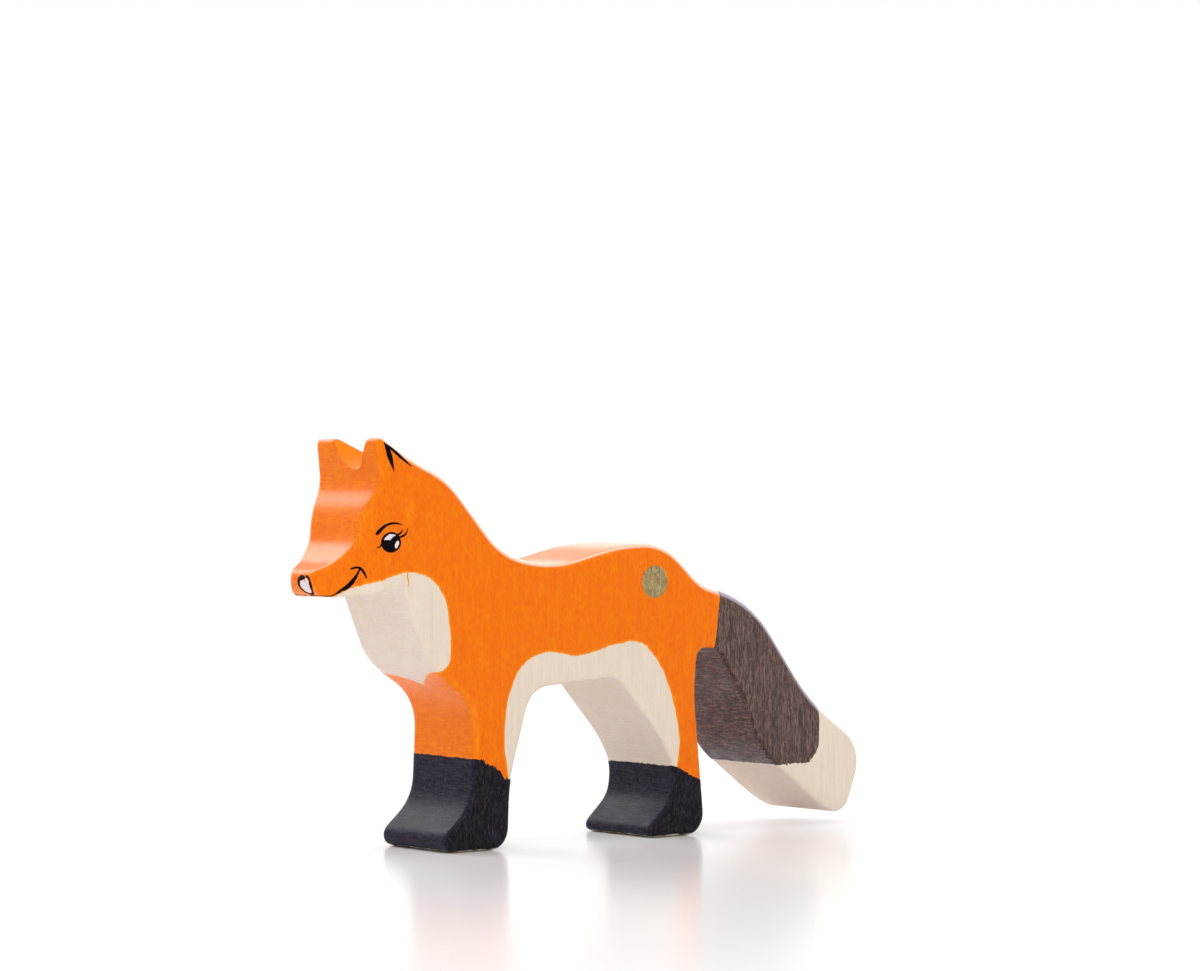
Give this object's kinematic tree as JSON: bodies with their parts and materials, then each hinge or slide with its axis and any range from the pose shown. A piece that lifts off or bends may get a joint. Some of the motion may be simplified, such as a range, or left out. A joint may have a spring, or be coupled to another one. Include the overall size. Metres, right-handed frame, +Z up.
{
  "type": "wooden toy fox",
  "caption": "Standing wooden toy fox sawn from one board, with rounded edges, painted coat, dark socks and tail, and a bare belly.",
  "frame": {"origin": "under the middle of the figure's bounding box, on the plane of the soles", "axes": "+X from the nose to the tail end, +Y across the board towards the fox's right flank, +Z up"},
  "size_m": [0.1393, 0.0228, 0.0827],
  "materials": {
    "bare_wood": "sanded smooth, vertical grain",
    "orange_paint": "thin satin stain on sanded wood, the grain shows through",
    "black_paint": "satin, brushed",
    "brown_paint": "thin satin stain on sanded wood, the grain shows through",
    "black_ink": "matt line",
    "white_ink": "matt",
    "gold_paint": "metallic flakes in lacquer"
  },
  "bodies": {
    "root": {"wood_blank": "bare_wood", "orange_coat": "orange_paint", "front_sock_coat": "black_paint", "rear_sock_coat": "black_paint", "tail_brown_coat": "brown_paint", "nose_line": "black_ink", "nose_white": "white_ink", "gold_spot": "gold_paint", "left_eye_black": "black_ink", "left_eye_white": "white_ink", "left_brow": "black_ink", "left_lashes": "black_ink", "left_smile": "black_ink", "left_ear_mark": "black_ink", "right_eye_black": "black_ink", "right_eye_white": "white_ink", "right_brow": "black_ink", "right_lashes": "black_ink", "right_smile": "black_ink", "right_ear_mark": "black_ink"}
  },
  "joints": []
}
